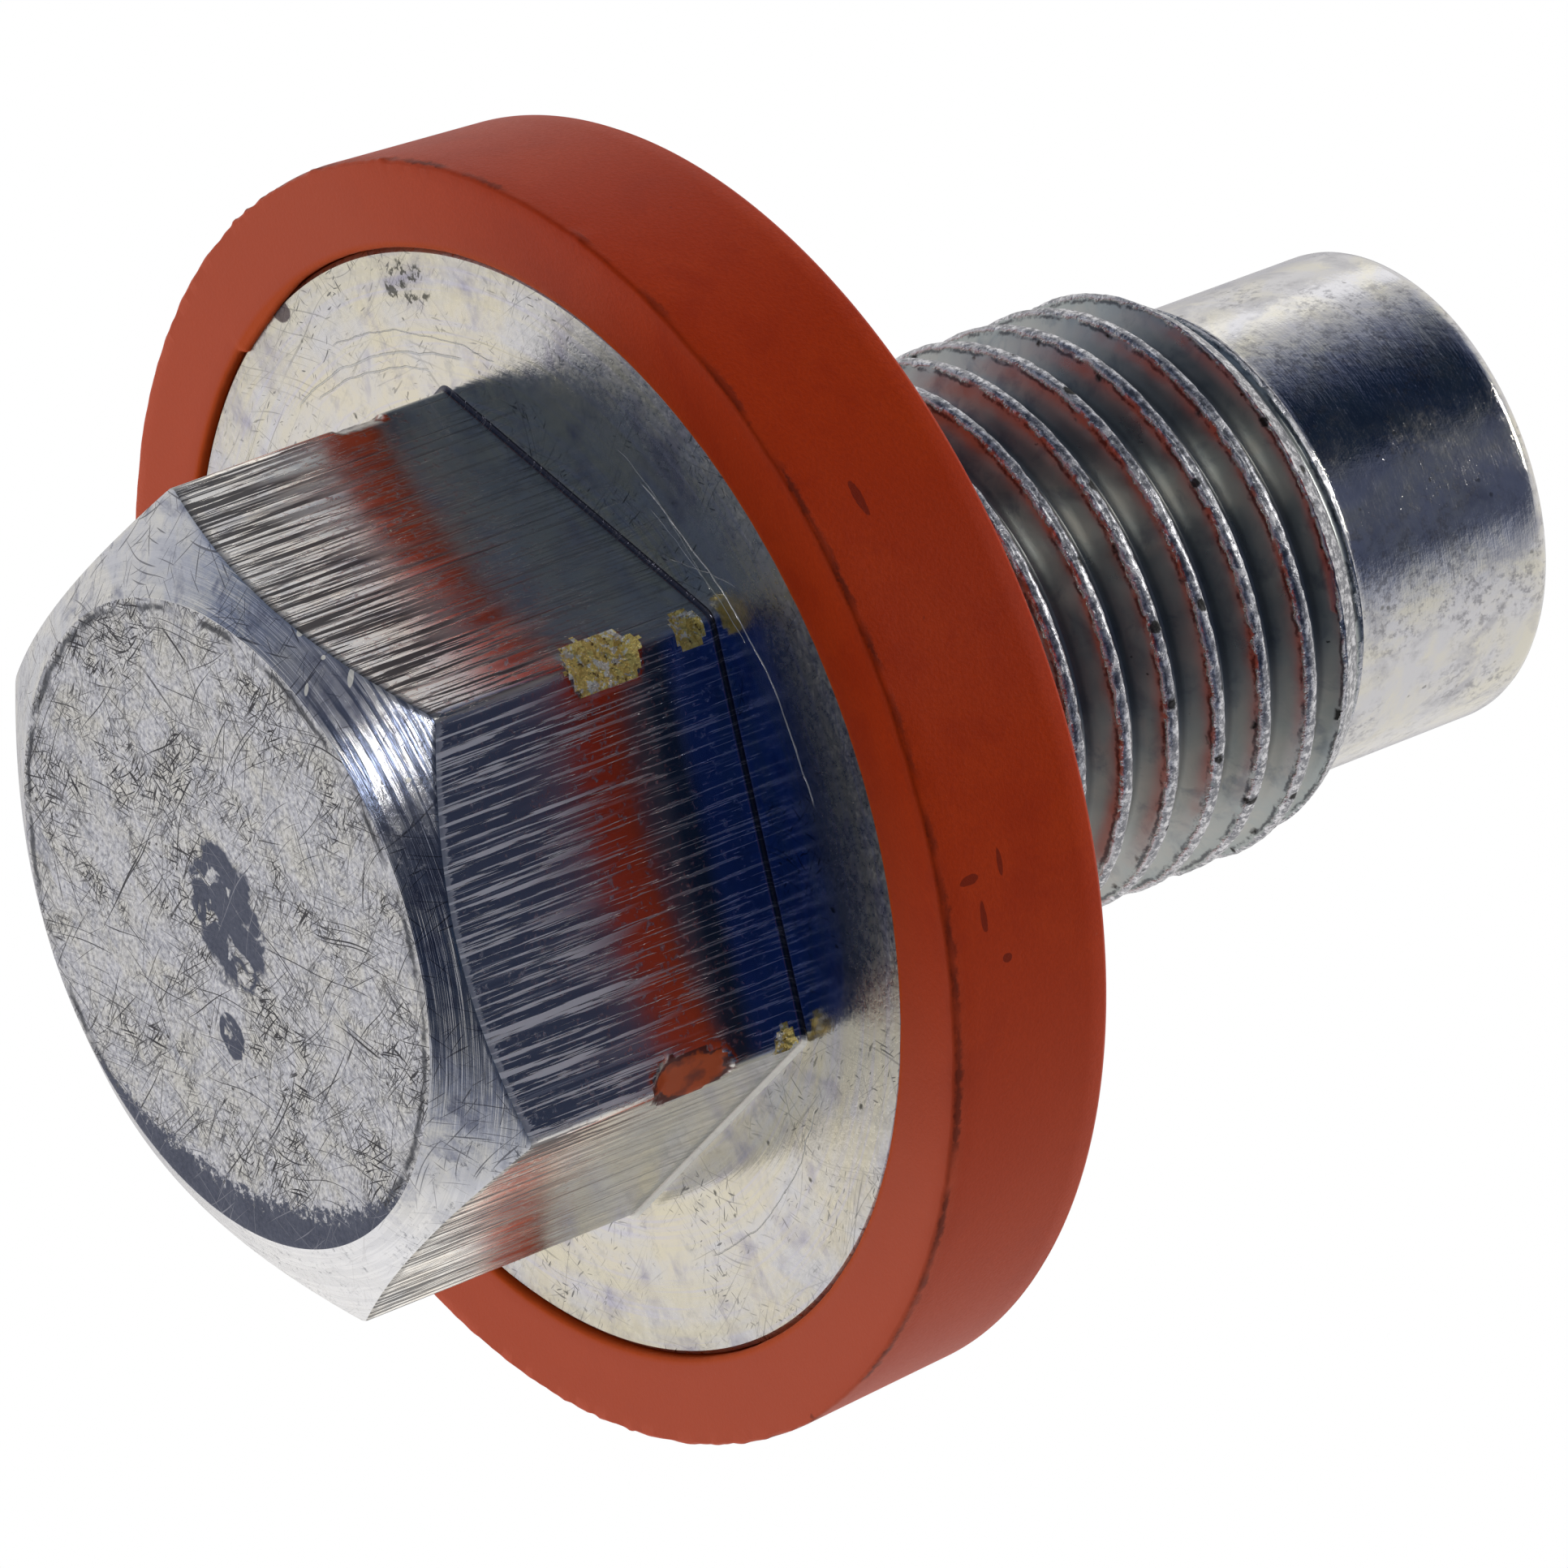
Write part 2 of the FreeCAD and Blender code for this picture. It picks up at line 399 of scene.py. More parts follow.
# Pits and specks are small dots, far apart, of uneven size.
pits, given, result = new_group(
    "pits",
    [("Vector", "Vector", None), ("Scale", "Float", 3.0), ("Share", "Float", 0.3), ("Size", "Float", 0.3)],
    [("Mask", "Float")])
shaken = put("TexNoise", {"Vector": given["Vector"], "Scale": 9.0, "Detail": 1.0}).outputs["Color"]
shaken = put("VectorMath", {0: shaken, 1: (0.12, 0.12, 0.12), 2: given["Vector"]},
             operation="MULTIPLY_ADD").outputs[0]
cells = put("TexVoronoi", {"Vector": shaken, "Scale": given["Scale"]})
chance = put("SeparateColor", {0: cells.outputs["Color"]}).outputs
size = times(given["Size"], ramp(chance[1], 0, 1, 0.35, 1))
dot_mask = ramp(calc("SUBTRACT", size, cells.outputs["Distance"]), 0, 0.08)
kept = calc("LESS_THAN", chance[0], given["Share"])
tree.links.new(times(dot_mask, kept), result["Mask"])

# Drawn streaks run along the axis, as the trimming die leaves them.
drawn_streaks, given, result = new_group(
    "drawn_streaks",
    [("Vector", "Vector", None), ("Length", "Float", 2.0), ("Width", "Float", 0.05), ("Seed", "Float", 0.0)],
    [("Height", "Float"), ("Broad", "Float")])
outward = put("VectorMath", {0: flattened(given["Vector"])}, operation="NORMALIZE").outputs[0]
outward = put("SeparateXYZ", {0: outward}).outputs
height = put("SeparateXYZ", {0: given["Vector"]}).outputs[2]
STREAK_RADIUS = 8.4     # where the streaks have the width that is given
across = calc("DIVIDE", STREAK_RADIUS, given["Width"])
place = put("CombineXYZ", {
    0: calc("MULTIPLY_ADD", outward[0], across, given["Seed"]),
    1: times(outward[1], across),
    2: calc("DIVIDE", height, given["Length"])}).outputs[0]
tree.links.new(fine_noise(place, 0.5, 3.0, 0.65), result["Height"])
tree.links.new(fine_noise(place, 0.13, 2.0, 0.6), result["Broad"])

# Turned marks run round the axis, on a flat face and on a round side alike.
turned_marks, given, result = new_group(
    "turned_marks",
    [("Vector", "Vector", None), ("Width", "Float", 0.08), ("Around", "Float", 2.0)],
    [("Height", "Float")])
flat_part = flattened(given["Vector"])
radius = put("VectorMath", {0: flat_part}, operation="LENGTH").outputs["Value"]
outward = put("VectorMath", {0: flat_part}, operation="NORMALIZE").outputs[0]
outward = put("SeparateXYZ", {0: outward}).outputs
height = put("SeparateXYZ", {0: given["Vector"]}).outputs[2]
place = put("CombineXYZ", {
    0: times(outward[0], given["Around"]),
    1: times(outward[1], given["Around"]),
    2: calc("DIVIDE", calc("ADD", radius, height), given["Width"])}).outputs[0]
tree.links.new(fine_noise(place, 1.0, 3.0, 0.6), result["Height"])

# Plating is blotched in three tones of zinc.
plating, given, result = new_group(
    "plating",
    [("Vector", "Vector", None), ("Scale", "Float", 0.5), ("Main", "Color", None), ("Second", "Color", None),
     ("Third", "Color", None)],
    [("Colour", "Color"), ("Blotch", "Float")])
scaled = put("VectorMath", {0: given["Vector"], "Scale": given["Scale"]}, operation="SCALE").outputs[0]
blotch = fine_noise(scaled, 1.0, 5.0, 0.62, 0.6)
blotch_two = fine_noise(shifted(scaled, (7.3, 1.9, 4.1)), 1.7, 4.0, 0.6, 0.4)
colour = mix(ramp(blotch, 0.42, 0.62), given["Main"], given["Second"])
colour = mix(ramp(blotch_two, 0.52, 0.68), colour, given["Third"])
tree.links.new(colour, result["Colour"])
tree.links.new(blotch, result["Blotch"])


def new_material(name, metallic):
    """A material with its shader, and the place on the piece in mm."""
    global tree
    material = bpy.data.materials.new(name)
    material.use_nodes = True
    tree = material.node_tree
    shader = tree.nodes["Principled BSDF"]
    shader.inputs["Metallic"].default_value = metallic
    position = put("TexCoord").outputs["Object"]
    position = put("VectorMath", {0: position, "Scale": 1 / MM}, operation="SCALE").outputs[0]
    return material, shader, position


def finish(shader, colour, roughness, height, depth):
    """Colour, roughness and a bump of the given depth in mm, put into the shader."""
    tree.links.new(colour, shader.inputs["Base Color"])
    tree.links.new(roughness, shader.inputs["Roughness"])
    bump = put("Bump", {"Height": height, "Distance": depth * MM, "Strength": 1.0})
    tree.links.new(bump.outputs[0], shader.inputs["Normal"])


def polar(position):
    """Radius, x, y and z of a place on the plug."""
    parts = put("SeparateXYZ", {0: position}).outputs
    radius = put("VectorMath", {0: flattened(position)}, operation="LENGTH").outputs["Value"]
    return radius, parts[0], parts[1], parts[2]


def degrees_round(x, y):
    """Angle round the axis from +X, in degrees."""
    return times(calc("ARCTAN2", y, x), 180 / math.pi)


def blot(position, centre, size, seed, rag):
    """An uneven stain round a point, 1 inside and 0 outside."""
    away = put("VectorMath", {0: position, 1: centre}, operation="SUBTRACT").outputs[0]
    shrink = tuple(1 / reach for reach in size)
    away = put("VectorMath", {0: away, 1: shrink}, operation="MULTIPLY").outputs[0]
    away = put("VectorMath", {0: away}, operation="LENGTH").outputs["Value"]
    moved = shifted(position, (seed, seed, 0))
    ragged = calc("MULTIPLY_ADD", fine_noise(moved, 1.6, 3.0, 0.6), rag, away)
    return ramp(ragged, 1 + rag / 2, 0.9 + rag / 2)


# The hex face: matt zinc under a mesh of hair scratches, with a bare slate crescent
# at one side of the rim and a dark stain in the middle.
hex_face, shader, mm = new_material("scratched_face", 1.0)
radius, x, y, _ = polar(mm)
tones = effect(plating, mm, Scale=0.9, Main=(0.61, 0.61, 0.655),
               Second=(0.70, 0.68, 0.635), Third=(0.49, 0.495, 0.545))
long_hairs = effect(hair_scratches, mm, Length=3.0, Width=0.035, Amount=0.10)[0]
moved = shifted(mm, (11.0, 5.0, 0.0))
short_hairs = effect(hair_scratches, moved, Length=0.65, Width=0.04, Amount=0.34)[0]
crowd = ramp(fine_noise(mm, 0.45, 4.0, 0.6), 0.44, 0.58, 0.12, 1.0)
hairs = larger(long_hairs, times(short_hairs, crowd))
grime = times(ramp(fine_noise(mm, 5.5, 3.0, 0.7), 0.58, 0.68), crowd)
specks = effect(pits, mm, Scale=3.0, Share=0.3, Size=0.2)[0]
dots = effect(pits, mm, Scale=7.0, Share=0.55, Size=0.36)[0]
sand = fine_noise(mm, 8.5, 4.0, 0.65)
CRESCENT_TOWARDS = math.radians(192)
towards = calc("MULTIPLY_ADD", x, math.cos(CRESCENT_TOWARDS), times(y, math.sin(CRESCENT_TOWARDS)))
towards = calc("DIVIDE", towards, larger(radius, 0.1))
streaky = effect(drawn_streaks, mm, Length=9.0, Width=0.16, Seed=4.0)
inner = calc("MULTIPLY_ADD", ramp(towards, 0.58, 0.97), -1.05, FACE_CIRCLE + 0.05)
inner = calc("MULTIPLY_ADD", streaky["Height"], 0.6, calc("SUBTRACT", inner, 0.3))
inner = calc("MULTIPLY_ADD", fine_noise(mm, 4.0, 5.0, 0.8), 2.4, calc("SUBTRACT", inner, 1.2))
crescent = ramp(calc("SUBTRACT", radius, inner), 0, 0.15)
crescent = times(crescent, ramp(towards, 0.55, 0.62))
stain = blot(mm, (0.15, 0.25, 0.0), (1.75, 1.2, 100), 3.0, 0.9)
small_stain = blot(mm, (-2.45, -0.65, 0.0), (0.6, 0.42, 100), 9.0, 0.8)
islands = ramp(fine_noise(mm, 1.5, 3.0, 0.6, 0.5), 0.60, 0.55)
stain = times(larger(stain, small_stain), islands)
bare = larger(crescent, stain)
rim_place = calc("MULTIPLY_ADD", fine_noise(mm, 1.6, 5.0, 0.7), 0.35, radius)
rim_line = times(ramp(rim_place, 6.94, 7.01), ramp(rim_place, 7.16, 7.09))
rim_line = times(rim_line, ramp(fine_noise(mm, 1.1, 3.0), 0.38, 0.5))
dusk = times(ramp(radius, 6.2, 7.0), ramp(fine_noise(mm, 0.7, 4.0, 0.7), 0.45, 0.62))
colour = mix(ramp(sand, 0.50, 0.38, 0, 0.65), tones["Colour"], (0.88, 0.87, 0.86))
colour = mix(ramp(sand, 0.52, 0.68, 0, 0.8), colour, (0.24, 0.24, 0.27))
colour = mix(times(dots, calc("MULTIPLY_ADD", crowd, 0.5, 0.35)), colour, (0.09, 0.09, 0.10))
colour = mix(times(dusk, 0.6), colour, (0.20, 0.205, 0.24))
colour = mix(times(grime, 0.6), colour, (0.16, 0.155, 0.16))
colour = mix(times(rim_line, 0.85), colour, (0.06, 0.065, 0.08))
slate = mix(ramp(fine_noise(mm, 9.0, 3.0), 0.3, 0.75), (0.075, 0.085, 0.125), (0.12, 0.13, 0.18))
slate = mix(times(long_hairs, 0.5), slate, (0.45, 0.45, 0.50))
colour = mix(times(hairs, 0.95), colour, (0.035, 0.033, 0.04))
colour = mix(times(specks, 0.85), colour, (0.035, 0.03, 0.03))
colour = mix(bare, colour, slate)
roughness = calc("MULTIPLY_ADD", tones["Blotch"], 0.25, 0.34)
height = calc("MULTIPLY_ADD", fine_noise(mm, 4.5, 5.0, 0.7), 0.9, times(hairs, -0.3))
finish(shader, colour, roughness, height, 0.022)

# The chamfer: the same zinc, turned, so that it catches the light in fine arcs, with
# small nicks along its edges whose glints are painted on in a pale colour.
chamfer, shader, mm = new_material("turned_chamfer", 1.0)
_, x, y, _ = polar(mm)
tones = effect(plating, mm, Scale=0.8, Main=(0.50, 0.51, 0.56),
               Second=(0.62, 0.61, 0.59), Third=(0.27, 0.28, 0.34))
arcs = effect(turned_marks, mm, Width=0.20, Around=1.7)[0]
fine_arcs = effect(turned_marks, mm, Width=0.045, Around=0.9)[0]
azimuth = degrees_round(x, y)
near_corner = times(ramp(azimuth, 40, 50), ramp(azimuth, 82, 66))
# Turned cuts painted dark: real marks, and painted shade between the bright arcs of the highlight near the
# corner.
cuts_and_shade = times(ramp(arcs, 0.52, 0.48), ramp(near_corner, 0, 1, 0.10, 0.95))
sunlit = ramp(calc("MULTIPLY_ADD", fine_noise(mm, 1.2, 3.0), 1.5, x), -4.2, -6.2)
hairs = effect(hair_scratches, mm, Length=1.2, Width=0.045, Amount=0.12)[0]
grime = times(ramp(fine_noise(mm, 6.5, 4.0, 0.75), 0.55, 0.68),
              ramp(fine_noise(mm, 0.6, 3.0), 0.42, 0.58))
# Painted highlight: glints on small nicks, pale cream with less metal so that the lamps light them.
NICK_GLINT_SPOTS = (               # middle, reach along x, y and z
    ((6.42, 4.66, 0.51), (0.10, 0.09, 1)), ((5.48, 5.98, 0.61), (0.20, 0.07, 1)),
    ((5.31, 4.99, 0.14), (0.13, 0.05, 1)), ((1.22, 7.96, 0.58), (0.10, 0.08, 1)),
    ((5.9, 5.3, 0.5), (0.05, 0.06, 1)), ((3.4, 7.3, 0.5), (0.05, 0.06, 1)),
)
painted_nick_glints = largest([blot(mm, middle, reach, 5.0, 0.5) for middle, reach in NICK_GLINT_SPOTS])
colour = mix(times(hairs, 0.75), tones["Colour"], (0.07, 0.07, 0.085))
colour = mix(times(sunlit, 0.75), colour, (0.93, 0.93, 0.95))
colour = mix(cuts_and_shade, colour, (0.11, 0.13, 0.19))
colour = mix(times(grime, 0.7), colour, (0.12, 0.125, 0.15))
colour = mix(painted_nick_glints, colour, (1.0, 0.95, 0.82))
roughness = calc("MULTIPLY_ADD", tones["Blotch"], 0.2, calc("MULTIPLY_ADD", grime, 0.3, 0.04))
height = calc("MULTIPLY_ADD", fine_arcs, 0.30, arcs)
height = calc("MULTIPLY_ADD", fine_noise(mm, 3.0, 3.0, 0.6), 0.12, height)
finish(shader, colour, roughness, height, 0.030)
tree.links.new(calc("SUBTRACT", 1.0, times(painted_nick_glints, 0.7)), shader.inputs["Metallic"])

# The flats: bright under drawn streaks that are deep near the face and die out. The
# middle one has a dark ground and a blue strip at its foot, both painted reflection, and light lines.
flats, shader, mm = new_material("drawn_flats", 1.0)
radius, x, y, z = polar(mm)
above_edge = calc("MULTIPLY_ADD", calc("SUBTRACT", radius, FACE_CIRCLE), -CHAMFER_SLOPE, z)
drawn_tones = effect(plating, mm, Scale=0.7, Main=(0.95, 0.92, 0.86),
                     Second=(0.98, 0.91, 0.80), Third=(0.75, 0.74, 0.73))
smooth_tones = effect(plating, mm, Scale=0.7, Main=(0.38, 0.40, 0.40),
                      Second=(0.43, 0.43, 0.40), Third=(0.33, 0.35, 0.37))
deep = effect(drawn_streaks, mm, Length=2.6, Width=0.06, Seed=0.0)
fine = effect(drawn_streaks, mm, Length=1.3, Width=0.032, Seed=31.0)
faint = effect(drawn_streaks, mm, Length=4.0, Width=0.050, Seed=57.0)
fading = ramp(calc("MULTIPLY_ADD", deep["Broad"], -5.5, above_edge), 1.4, -0.6)
middle_flat = times(ramp(calc("ABSOLUTE", x), 4.6, 4.3), ramp(y, 7.0, 7.4))
sparse = times(middle_flat, 0.022)
grooves = calc("ADD", deep["Height"], sparse)
grooves = times(ramp(grooves, 0.47, 0.455), fading)
scrape = ramp(calc("ADD", fine["Height"], sparse), 0.445, 0.42)
scrape = times(scrape, ramp(fading, 0, 1, 0.3, 0.9))
faint_lines = times(ramp(faint["Height"], 0.41, 0.33), ramp(middle_flat, 0, 1, 0.6, 0.15))
grit = ramp(fine_noise(mm, 6.0, 4.0, 0.7), 0.58, 0.70)
edge_place = calc("MULTIPLY_ADD", deep["Height"], -0.55, above_edge)
edge_line = times(ramp(edge_place, -0.12, -0.18), 0.5)
marks = largest([grooves, scrape, edge_line, faint_lines, times(grit, 0.3)])
# Painted shade: a dark line along the crease at the foot of the flats. On the lower flat it is a painted
# highlight instead, cream and less metallic so that the fill lamp lights it.
foot_crease_shade = ramp(z, FLANGE_FRONT - 0.11, FLANGE_FRONT - 0.06)
lit_base = times(foot_crease_shade, ramp(x, -4.4, -4.7))
# Painted reflection: the middle flat's dark blue-grey ground.
drawn_colour = mix(middle_flat, drawn_tones["Colour"], (0.21, 0.23, 0.28))
# Painted reflection: bands down the middle flat, pinkish grey near the face, then dark, then a blue strip at
# the foot.
painted_reflection_bands = mix(ramp(z, 6.1, 6.4), (0.48, 0.42, 0.42), (0.19, 0.21, 0.27))
painted_reflection_bands = mix(ramp(z, 6.7, 7.1), painted_reflection_bands, (0.22, 0.30, 0.72))
smooth_colour = mix(middle_flat, smooth_tones["Colour"], painted_reflection_bands)
colour = mix(fading, smooth_colour, drawn_colour)
mark_colour = mix(middle_flat, (0.05, 0.05, 0.055), (1.0, 0.99, 1.0))
colour = mix(times(marks, 0.9), colour, mark_colour)
colour = mix(foot_crease_shade, colour, (0.07, 0.07, 0.09))
colour = mix(lit_base, colour, (1.0, 0.96, 0.86))
roughness = calc("MULTIPLY_ADD", marks, 0.25, calc("MULTIPLY_ADD", fading, 0.05, 0.15))
height = calc("MULTIPLY_ADD", marks, -1.0, times(deep["Broad"], 1.2))
finish(shader, colour, roughness, height, 0.010)
light_lines = times(times(marks, middle_flat), 0.9)
light_lines = larger(light_lines, times(lit_base, 0.8))
tree.links.new(calc("SUBTRACT", 1.0, light_lines), shader.inputs["Metallic"])

# The flange: polished by turning, with a cream and violet bloom and long scratches.
flange, shader, mm = new_material("bloomed_flange", 1.0)
radius, x, y, _ = polar(mm)
azimuth = degrees_round(x, y)
tones = effect(plating, mm, Scale=0.42, Main=(0.64, 0.63, 0.64),
               Second=(0.70, 0.65, 0.54), Third=(0.42, 0.40, 0.47))
arcs = effect(turned_marks, mm, Width=0.16, Around=1.6)[0]
broad_arcs = effect(turned_marks, mm, Width=0.6, Around=1.2)[0]
hairs = effect(hair_scratches, mm, Length=5.0, Width=0.045, Amount=0.14)[0]
short = effect(hair_scratches, mm, Length=0.35, Width=0.06, Amount=0.05)[0]
hairs = larger(times(hairs, 0.5), short)
hairs = times(hairs, ramp(fine_noise(mm, 0.5, 3.0), 0.40, 0.60))
specks = effect(pits, mm, Scale=1.7, Share=0.35, Size=0.15)[0]
smear_and_ring_reflection = blot(mm, (11.3, -0.6, 8.2), (0.5, 0.8, 100), 2.0, 1.4)
smear_and_ring_reflection = times(smear_and_ring_reflection, ramp(fine_noise(mm, 3.0, 3.0, 0.7), 0.50, 0.56))
purple = blot(mm, (10.62, -5.6, 8.2), (0.28, 0.42, 100), 6.0, 0.8)
wander = calc("MULTIPLY_ADD", fine_noise(mm, 0.5, 3.0), 0.5, radius)
SCARS = (               # degrees round the axis where it starts and ends, radii there, width
    (41, 87, 9.98, 10.32, 0.030), (44, 66, 9.70, 9.95, 0.016), (36, 58, 10.20, 9.80, 0.014),
    (50, 60, 9.20, 10.6, 0.014), (-34, 6, 10.5, 10.0, 0.030), (-30, -2, 10.2, 9.75, 0.022),
    (-22, 12, 10.9, 10.2, 0.016), (128, 165, 10.1, 10.4, 0.018), (196, 240, 10.9, 10.5, 0.02),
)
SCAR_FADE = 1.5         # degrees over which a scar fades at its ends


def scar(start, end, from_radius, to_radius, width):
    """One long scratch of the flange."""
    line = ramp(azimuth, start, end, from_radius, to_radius)
    off_line = calc("ABSOLUTE", calc("SUBTRACT", wander, line))
    mask = times(ramp(off_line, width, width * 0.5), ramp(azimuth, start, start + SCAR_FADE))
    return times(mask, ramp(azimuth, end, end - SCAR_FADE))


scars = largest([scar(*row) for row in SCARS])
grain = times(ramp(radius, 9.2, 11.8, 0.15, 1.0), fine_noise(mm, 7.0, 3.0, 0.7))
colour = mix(ramp(broad_arcs, 0.45, 0.62, 0, 0.7), tones["Colour"], (0.70, 0.65, 0.50))
colour = mix(ramp(arcs, 0.52, 0.66, 0, 0.55), colour, (0.60, 0.58, 0.68))
mottle = times(ramp(fine_noise(mm, 2.4, 5.0, 0.75), 0.54, 0.68), 0.35)
colour = mix(mottle, colour, (0.34, 0.34, 0.36))
colour = mix(times(hairs, 0.8), colour, (0.08, 0.08, 0.085))
colour = mix(times(larger(specks, smear_and_ring_reflection), 0.85), colour, (0.04, 0.04, 0.03))
colour = mix(times(purple, 0.85), colour, (0.045, 0.02, 0.035))
colour = mix(times(scars, 0.5), colour, (0.85, 0.85, 0.82))
roughness = calc("MULTIPLY_ADD", grain, 0.55, calc("MULTIPLY_ADD", tones["Blotch"], 0.12, 0.02))
roughness = calc("MULTIPLY_ADD", scars, 0.35, roughness)
height = calc("MULTIPLY_ADD", arcs, 0.35, times(grain, 1.1))
height = calc("MULTIPLY_ADD", scars, -1.2, height)
finish(shader, colour, roughness, height, 0.009)

# The thread: flanks and crests rolled smooth, and a ragged, pitted line along each
# edge of the crest where the plating has worn through.
thread, shader, mm = new_material("rolled_thread", 1.0)
radius, _, _, z = polar(mm)
tones = effect(plating, mm, Scale=0.8, Main=(0.39, 0.405, 0.395),
               Second=(0.47, 0.46, 0.43), Third=(0.27, 0.285, 0.30))
at_end = larger(calc("SUBTRACT", z, THREAD_END - THREAD_END_TAPER), 0.0)
full_radius = calc("MULTIPLY_ADD", at_end, (THREAD_RADIUS - THREAD_END_RADIUS) / THREAD_END_TAPER, radius)
ragged = calc("MULTIPLY_ADD", fine_noise(mm, 3.0, 4.0, 0.65), 0.20, full_radius)
on_crest = ramp(ragged, THREAD_RADIUS + 0.02, THREAD_RADIUS + 0.05)
crest_edge = times(ramp(ragged, THREAD_RADIUS - 0.01, THREAD_RADIUS + 0.03),
                   ramp(ragged, THREAD_RADIUS + 0.085, THREAD_RADIUS + 0.05))
crest_edge = times(crest_edge, ramp(fine_noise(mm, 1.6, 4.0, 0.7), 0.44, 0.54))
# Painted shade: a dark ragged line on the flank just under each crest edge.
shade_under_crest = times(ramp(ragged, THREAD_RADIUS - 0.09, THREAD_RADIUS - 0.05),
                   ramp(ragged, THREAD_RADIUS + 0.01, THREAD_RADIUS - 0.02))
shade_under_crest = times(shade_under_crest, ramp(fine_noise(mm, 1.3, 4.0, 0.7), 0.44, 0.54))
# Painted shade: the roots of the thread are darker.
root_shade = ramp(full_radius, THREAD_RADIUS - 0.58, THREAD_RADIUS - 0.66)
black_pits = effect(pits, mm, Scale=1.7, Share=0.34, Size=0.34)[0]
around_crest = ramp(ragged, THREAD_RADIUS - 0.16, THREAD_RADIUS - 0.08)
black_pits = times(black_pits, around_crest)
dirt = effect(pits, mm, Scale=2.4, Share=0.16, Size=0.16)[0]
grit = fine_noise(mm, 6.0, 4.0, 0.75)
# Painted shade: the flanks grow darker towards each crest.
shade_near_crest = ramp(full_radius, THREAD_RADIUS - 0.5, THREAD_RADIUS - 0.12, 0, 0.6)
crest_colour = mix(ramp(grit, 0.46, 0.60), (0.20, 0.205, 0.23), (0.72, 0.72, 0.75))
colour = mix(shade_near_crest, tones["Colour"], (0.30, 0.345, 0.35))
colour = mix(on_crest, colour, crest_colour)
colour = mix(times(shade_under_crest, 0.8), colour, (0.045, 0.045, 0.055))
colour = mix(times(crest_edge, 0.9), colour, (0.82, 0.82, 0.85))
colour = mix(times(root_shade, 0.6), colour, (0.20, 0.20, 0.20))
colour = mix(times(larger(black_pits, dirt), 0.9), colour, (0.015, 0.015, 0.012))
roughness = calc("MULTIPLY_ADD", tones["Blotch"], 0.25, 0.19)
roughness = calc("MULTIPLY_ADD", on_crest, 0.03, roughness)
roughness = calc("MULTIPLY_ADD", larger(crest_edge, black_pits), 0.25, roughness)
height = times(grit, calc("MULTIPLY_ADD", on_crest, 0.12, 0.04))
height = calc("MULTIPLY_ADD", crest_edge, times(grit, 0.8), height)
finish(shader, colour, roughness, height, 0.06)

# The pilot, and the neck behind the flange: turned and lightly brushed.
pilot, shader, mm = new_material("brushed_pilot", 1.0)
tones = effect(plating, mm, Scale=0.6, Main=(0.58, 0.58, 0.61),
               Second=(0.64, 0.62, 0.55), Third=(0.44, 0.44, 0.47))
arcs = effect(turned_marks, mm, Width=0.05, Around=5.0)[0]
specks = effect(pits, mm, Scale=2.6, Share=0.3, Size=0.2)[0]
mottle = ramp(fine_noise(mm, 4.2, 5.0, 0.75), 0.50, 0.62)
mottle = times(mottle, ramp(fine_noise(mm, 0.45, 3.0), 0.40, 0.58))
colour = mix(times(mottle, 0.7), tones["Colour"], (0.20, 0.20, 0.22))
colour = mix(times(specks, 0.6), colour, (0.10, 0.10, 0.09))
haze = ramp(fine_noise(mm, 1.3, 5.0, 0.75), 0.42, 0.66, 0.0, 0.05)
roughness = calc("MULTIPLY_ADD", tones["Blotch"], 0.08, calc("MULTIPLY_ADD", mottle, 0.08, 0.05))
roughness = calc("ADD", roughness, haze)
height = calc("MULTIPLY_ADD", fine_noise(mm, 2.0, 5.0, 0.65), 2.0, times(arcs, 0.6))
height = calc("MULTIPLY_ADD", fine_noise(mm, 5.5, 4.0, 0.75), 0.9, height)
finish(shader, colour, roughness, height, 0.005)

# Bruised corners: crumpled ones painted warm and bright with white painted glints, and one
# flattened smooth, which shows a painted reflection of the ring's rubber.
# Painted highlight: the warm gold is partly the bare metal's colour and partly painted sheen, kept bright by
# low metal; the white patches are painted glints.
crumpled, shader, mm = new_material("crumpled_corner", 0.35)
cells = put("TexVoronoi", {"Vector": mm, "Scale": 4.5})
cracks = ramp(fine_noise(mm, 5.0, 3.0, 0.7), 0.34, 0.40)
painted_glints = ramp(fine_noise(mm, 4.0, 3.0, 0.7), 0.53, 0.57)
colour = mix(painted_glints, (0.95, 0.75, 0.22), (1.0, 1.0, 0.86))
colour = mix(cracks, (0.16, 0.10, 0.03), colour)
height = calc("MULTIPLY_ADD", fine_noise(mm, 5.0, 3.0, 0.6), 1.2, cells.outputs["Distance"])
finish(shader, colour, ramp(cells.outputs["Distance"], 0, 0.6, 0.20, 0.34), height, 0.14)

smoothed, shader, mm = new_material("smoothed_corner", 1.0)
# Painted reflection: an orange oval of the ring with a dark rim, where the metal gives way to the painted
# colour.
smear_and_ring_reflection = blot(mm, (-4.45, 7.75, 5.35), (0.75, 0.75, 1.25), 2.0, 1.3)
ring_reflection_middle = blot(mm, (-4.45, 7.75, 5.35), (0.56, 0.56, 1.0), 2.0, 1.3)
colour = mix(ramp(fine_noise(mm, 4.0, 3.0), 0.36, 0.44), (0.30, 0.29, 0.28), (0.60, 0.58, 0.55))
ring_reflection_colour = mix(ramp(fine_noise(mm, 1.4, 3.0), 0.38, 0.50), (0.30, 0.045, 0.01), (0.68, 0.105, 0.008))
ring_reflection_colour = mix(ring_reflection_middle, (0.13, 0.022, 0.012), ring_reflection_colour)
colour = mix(smear_and_ring_reflection, colour, ring_reflection_colour)
roughness = ramp(fine_noise(mm, 3.0, 2.0), 0, 1, 0.14, 0.32)
